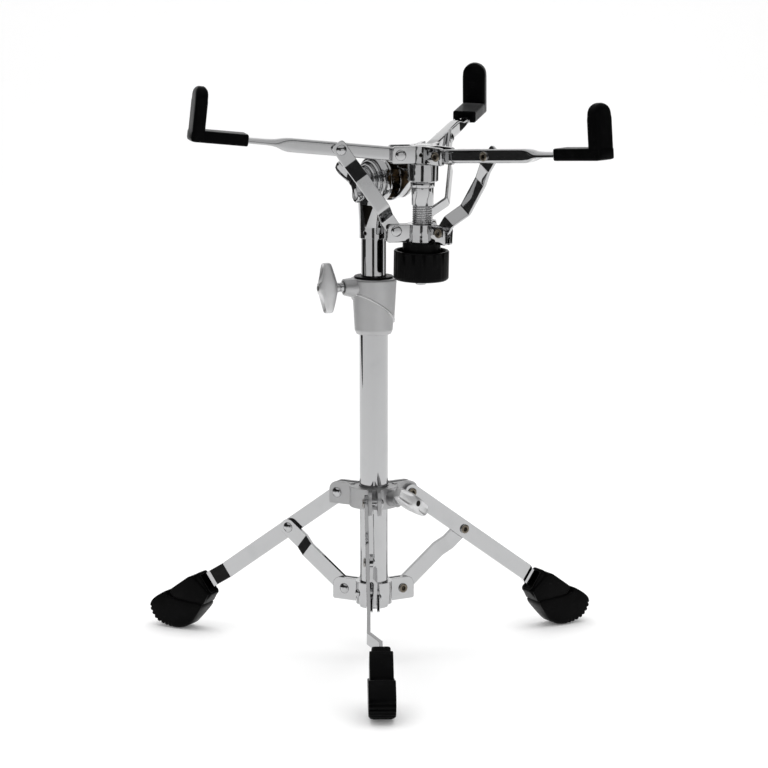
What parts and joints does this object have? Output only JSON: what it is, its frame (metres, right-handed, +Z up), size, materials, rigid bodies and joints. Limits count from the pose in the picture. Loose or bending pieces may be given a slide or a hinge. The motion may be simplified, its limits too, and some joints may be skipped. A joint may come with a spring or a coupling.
{
  "type": "snare drum stand",
  "caption": "Folding snare drum stand with a strip-leg tripod, telescopic mast, tilter and a basket of padded arms closed by a knob.",
  "frame": {"origin": "on the axis of the lower tube, at floor level", "axes": "+Z up along the mast, -Y towards the front leg and the camera, +X to the right of the picture"},
  "size_m": [0.4112, 0.4061, 0.5182],
  "materials": {
    "chrome": "polished",
    "satin_casting": "satin",
    "steel": "bright",
    "black_rubber": "matte",
    "black_plastic": "satin"
  },
  "bodies": {
    "base": {"lower_tube": "chrome", "lower_bracket": "chrome", "bracket_screw": "steel", "bracket_rivet_front": "steel", "bracket_rivet_right": "steel", "bracket_rivet_left": "steel", "tube_clamp": "satin_casting"},
    "swivel_bush": {"clamp_bush": "black_plastic"},
    "mast": {"upper_tube": "chrome", "tilter_roll_pin": "steel", "tilter_base": "chrome", "tilter_bolt": "steel", "tilter_washer": "steel"},
    "basket": {"tilter_arm": "chrome", "boss_roll_pin": "steel", "basket_post": "chrome", "top_hub": "chrome", "hub_roll_pin": "steel", "hub_rivet_right": "steel", "hub_rivet_back": "steel", "hub_rivet_left": "steel"},
    "slider": {"basket_slider": "chrome", "slider_rivet_right": "steel", "slider_rivet_back": "steel", "slider_rivet_left": "steel"},
    "knob": {"basket_knob": "black_plastic", "knob_insert": "steel"},
    "collar": {"leg_collar": "satin_casting", "collar_rivet_front": "steel", "collar_rivet_right": "steel", "collar_rivet_left": "steel"},
    "clamp_wing": {"clamp_wing_bolt": "satin_casting"},
    "tilter_wing": {"tilter_wing_nut": "satin_casting"},
    "collar_wing": {"collar_wing_bolt": "satin_casting"},
    "leg_front_unit": {"leg_front": "chrome", "foot_front": "black_rubber"},
    "leg_strut_front_unit": {"leg_strut_front": "chrome", "knee_rivet_front": "steel"},
    "leg_right_unit": {"leg_right": "chrome", "foot_right": "black_rubber"},
    "leg_strut_right_unit": {"leg_strut_right": "chrome", "knee_rivet_right": "steel"},
    "leg_left_unit": {"leg_left": "chrome", "foot_left": "black_rubber"},
    "leg_strut_left_unit": {"leg_strut_left": "chrome", "knee_rivet_left": "steel"},
    "arm_right_unit": {"arm_right": "chrome", "arm_pad_right": "black_rubber"},
    "basket_strut_right_unit": {"basket_strut_right": "chrome", "arm_rivet_right": "steel"},
    "arm_back_unit": {"arm_back": "chrome", "arm_pad_back": "black_rubber"},
    "basket_strut_back_unit": {"basket_strut_back": "chrome", "arm_rivet_back": "steel"},
    "arm_left_unit": {"arm_left": "chrome", "arm_pad_left": "black_rubber"},
    "basket_strut_left_unit": {"basket_strut_left": "chrome", "arm_rivet_left": "steel"}
  },
  "joints": [
    {"name": "tripod_fold", "type": "hinge", "parent": "base", "child": "leg_strut_front_unit", "pos_m": [0.00073, -0.02789, 0.0573], "axis": [-0.9997, -0.0262, 0], "range_deg": [-5, 43]},
    {"name": "front_knee", "type": "hinge", "parent": "leg_strut_front_unit", "child": "leg_front_unit", "pos_m": [0.00236, -0.09028, 0.10503], "axis": [-0.9997, -0.0262, 0], "range_deg": [-92.15, 10.72]},
    {"name": "front_collar_pivot", "type": "hinge", "parent": "leg_front_unit", "child": "collar", "pos_m": [0.0009, -0.03449, 0.145], "axis": [-0.9997, -0.0262, 0], "range_deg": [-5.72, 49.15]},
    {"name": "right_strut_pivot", "type": "hinge", "parent": "base", "child": "leg_strut_right_unit", "pos_m": [0.02379, 0.01458, 0.0573], "axis": [0.5225, -0.8526, 0], "range_deg": [-5, 43.01]},
    {"name": "right_leg_pivot", "type": "hinge", "parent": "collar", "child": "leg_right_unit", "pos_m": [0.02942, 0.01803, 0.145], "axis": [0.5225, -0.8526, 0], "range_deg": [-49.15, 5.72]},
    {"name": "left_strut_pivot", "type": "hinge", "parent": "base", "child": "leg_strut_left_unit", "pos_m": [-0.02452, 0.01331, 0.0573], "axis": [0.4772, 0.8788, 0], "range_deg": [-5, 43.01]},
    {"name": "left_leg_pivot", "type": "hinge", "parent": "collar", "child": "leg_left_unit", "pos_m": [-0.03032, 0.01646, 0.145], "axis": [0.4772, 0.8788, 0], "range_deg": [-49.15, 5.72]},
    {"name": "swivel", "type": "hinge", "parent": "base", "child": "swivel_bush", "pos_m": [0, 0, 0], "axis": [0, 0, 1], "range_deg": [-60, 165]},
    {"name": "mast_height", "type": "slide", "parent": "swivel_bush", "child": "mast", "axis": [0, 0, 1], "range_m": [-0.02, 0.13]},
    {"name": "basket_tilt", "type": "hinge", "parent": "mast", "child": "basket", "pos_m": [0, 0, 0.426], "axis": [-0.8192, -0.5736, 0], "range_deg": [-2, 60]},
    {"name": "basket_grip", "type": "slide", "parent": "basket", "child": "slider", "axis": [0.015, -0.0214, 0.9997], "range_m": [-0.003, 0.0145]},
    {"name": "right_arm_pivot", "type": "hinge", "parent": "basket", "child": "arm_right_unit", "pos_m": [0.05908, -0.04568, 0.45154], "axis": [-0.6991, -0.715, -0.0048], "range_deg": [-3.98, 19.2]},
    {"name": "right_basket_strut_pivot", "type": "hinge", "parent": "slider", "child": "basket_strut_right_unit", "pos_m": [0.05937, -0.04552, 0.38552], "axis": [-0.6991, -0.715, -0.0048], "range_deg": [-0.69, 3.33]},
    {"name": "back_arm_pivot", "type": "hinge", "parent": "basket", "child": "arm_back_unit", "pos_m": [0.04848, -0.00783, 0.45251], "axis": [0.9687, -0.2476, -0.0199], "range_deg": [-3.98, 19.2]},
    {"name": "back_basket_strut_pivot", "type": "hinge", "parent": "slider", "child": "basket_strut_back_unit", "pos_m": [0.04793, -0.00467, 0.38657], "axis": [0.9687, -0.2476, -0.0199], "range_deg": [-0.69, 3.33]},
    {"name": "left_arm_pivot", "type": "hinge", "parent": "basket", "child": "arm_left_unit", "pos_m": [0.02099, -0.03594, 0.45232], "axis": [-0.2696, 0.9627, 0.0247], "range_deg": [-3.98, 19.2]},
    {"name": "left_basket_strut_pivot", "type": "hinge", "parent": "slider", "child": "basket_strut_left_unit", "pos_m": [0.01827, -0.03501, 0.38636], "axis": [-0.2696, 0.9627, 0.0247], "range_deg": [-0.69, 3.33]},
    {"name": "knob_turn", "type": "hinge", "parent": "slider", "child": "knob", "pos_m": [0.04186, -0.0284, 0.38615], "axis": [0.015, -0.0214, 0.9997], "range_deg": [-540.5, 2610.5]},
    {"name": "clamp_wing_turn", "type": "hinge", "parent": "base", "child": "clamp_wing", "pos_m": [0, 0, 0.3328], "axis": [-0.9397, -0.342, 0], "continuous": true},
    {"name": "tilter_wing_turn", "type": "hinge", "parent": "mast", "child": "tilter_wing", "pos_m": [0, 0, 0.426], "axis": [-0.8192, -0.5736, 0], "continuous": true},
    {"name": "collar_wing_turn", "type": "hinge", "parent": "collar", "child": "collar_wing", "pos_m": [0, 0, 0.145], "axis": [0.7431, -0.6691, 0], "continuous": true}
  ],
  "couplings": [
    {"joint": "front_knee", "follows": "tripod_fold", "ratio": -2.143},
    {"joint": "front_collar_pivot", "follows": "tripod_fold", "ratio": 1.143},
    {"joint": "right_strut_pivot", "follows": "tripod_fold", "ratio": 1},
    {"joint": "right_leg_pivot", "follows": "tripod_fold", "ratio": -1.143},
    {"joint": "left_strut_pivot", "follows": "tripod_fold", "ratio": 1},
    {"joint": "left_leg_pivot", "follows": "tripod_fold", "ratio": -1.143},
    {"joint": "right_arm_pivot", "follows": "basket_grip", "rad_per_m": 23.1},
    {"joint": "right_basket_strut_pivot", "follows": "basket_grip", "rad_per_m": 4},
    {"joint": "back_arm_pivot", "follows": "basket_grip", "rad_per_m": 23.1},
    {"joint": "back_basket_strut_pivot", "follows": "basket_grip", "rad_per_m": 4},
    {"joint": "left_arm_pivot", "follows": "basket_grip", "rad_per_m": 23.1},
    {"joint": "left_basket_strut_pivot", "follows": "basket_grip", "rad_per_m": 4},
    {"joint": "knob_turn", "follows": "basket_grip", "rad_per_m": 3141.6}
  ]
}
